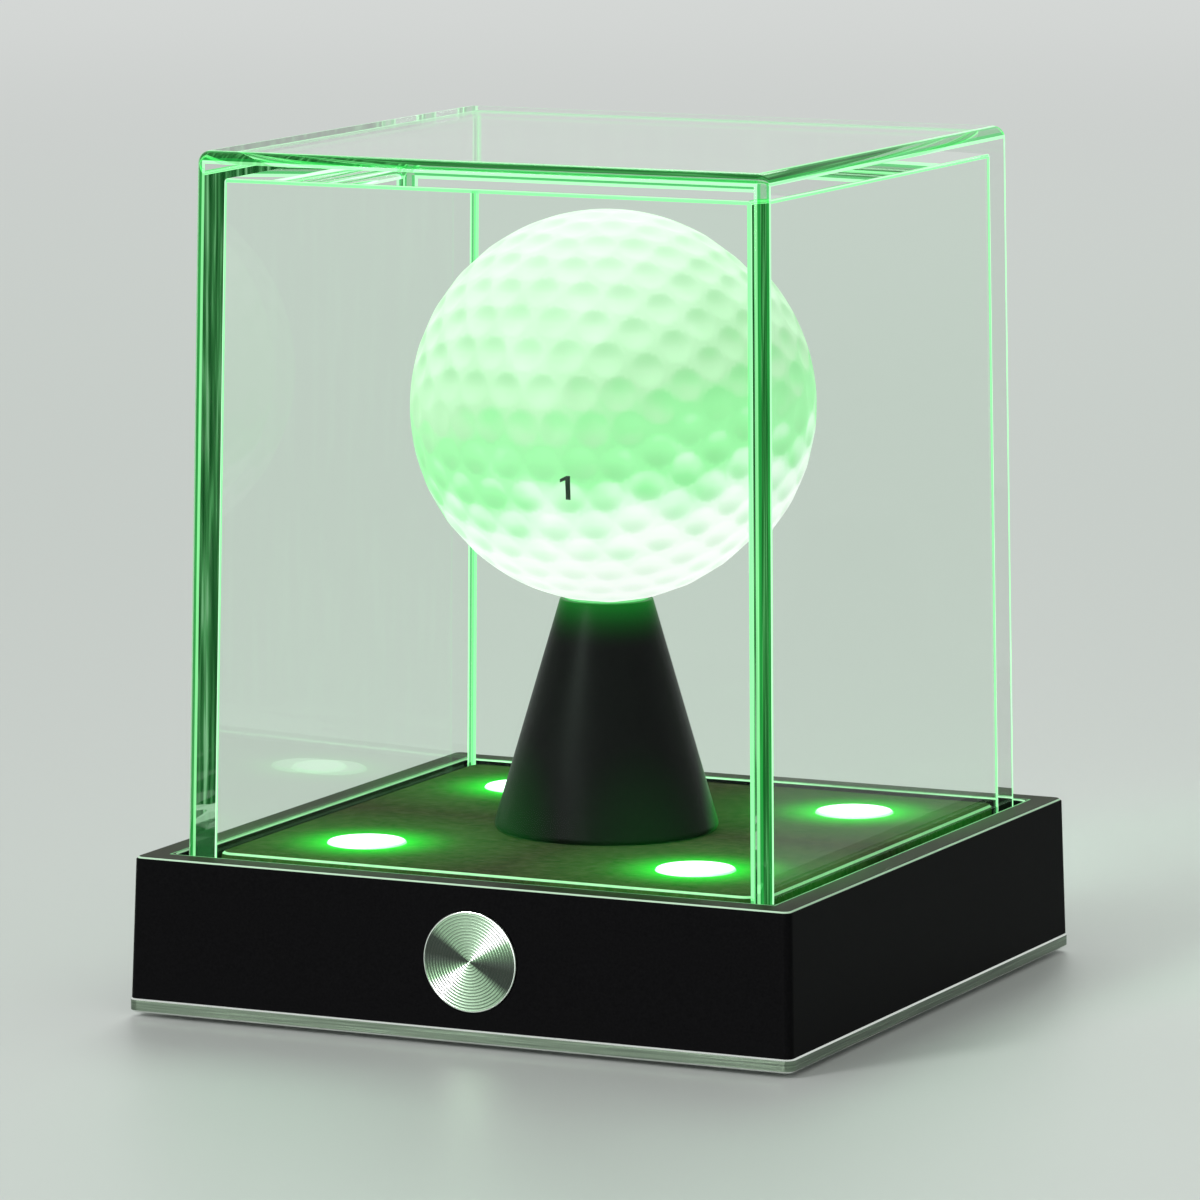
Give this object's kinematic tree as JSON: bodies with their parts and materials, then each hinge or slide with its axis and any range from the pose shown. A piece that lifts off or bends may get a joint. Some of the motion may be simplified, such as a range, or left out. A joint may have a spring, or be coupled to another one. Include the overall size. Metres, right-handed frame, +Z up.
{
  "type": "golf ball display case",
  "caption": "Lit display case for one golf ball: clear lift-off cover on a black base with a cone stand, deck lamps and a push button.",
  "frame": {"origin": "middle of the footprint, on the surface that the feet stand on", "axes": "+X to the right along the front face, +Y from the front to the back, +Z up"},
  "size_m": [0.0776, 0.0776, 0.0927],
  "materials": {
    "clear_acrylic": "clear cast acrylic, polished",
    "black_body": "satin black, fine texture",
    "deck_grain": "dark fine grain",
    "polished_trim": "polished",
    "black_plastic": "moulded, fine texture",
    "rubber": "matte",
    "steel": "plain",
    "circuit_board": "solder mask",
    "powder_coat": "black powder coat",
    "lit_cup": "milky, lit from below",
    "lamp_lens": "clear lens, lit",
    "led_package": "white package",
    "lead_sleeve": "smooth sleeve",
    "ball_cover": "glossy, dimpled",
    "spun_aluminium": "spun, fine rings",
    "cell_jacket": "smooth jacket"
  },
  "bodies": {
    "base": {"base_housing": "black_body", "deck_panel": "deck_grain", "trim_band": "polished_trim", "bottom_cover": "black_plastic", "bottom_screws": "steel", "feet": "rubber", "lens_front_left": "lamp_lens", "lens_front_right": "lamp_lens", "lens_back_left": "lamp_lens", "lens_back_right": "lamp_lens", "led_front_left": "led_package", "led_front_right": "led_package", "led_back_left": "led_package", "led_back_right": "led_package", "led_board_front": "circuit_board", "led_board_back": "circuit_board", "board_screws": "steel", "stand_cone": "powder_coat", "stand_screws": "steel", "ball_seat": "lit_cup", "stand_led": "led_package", "stand_led_board": "circuit_board", "stand_lead": "lead_sleeve", "switch_body": "black_plastic", "switch_board": "circuit_board", "battery_cell_front": "cell_jacket", "battery_cell_middle": "cell_jacket", "battery_cell_back": "cell_jacket", "battery_springs": "steel", "battery_contacts": "steel", "battery_leads": "lead_sleeve"},
    "cover": {"cover": "clear_acrylic"},
    "ball": {"golf_ball": "ball_cover"},
    "button": {"button_cap": "spun_aluminium", "button_stem": "black_plastic", "switch_plunger": "black_plastic"},
    "battery_door": {"battery_door": "black_plastic"}
  },
  "joints": [
    {"name": "cover_lift", "type": "slide", "parent": "base", "child": "cover", "axis": [0, 0, 1], "range_m": [0, 0.09]},
    {"name": "ball_lift", "type": "slide", "parent": "base", "child": "ball", "axis": [0, 0, 1], "range_m": [0, 0.004]},
    {"name": "button_press", "type": "slide", "parent": "base", "child": "button", "axis": [0, 1, 0], "range_m": [0, 0.0008], "stiffness_N_per_m": 300},
    {"name": "battery_door_hinge", "type": "hinge", "parent": "base", "child": "battery_door", "pos_m": [-0.024, 0, 0.0014], "axis": [0, 1, 0], "range_deg": [0, 90]}
  ]
}
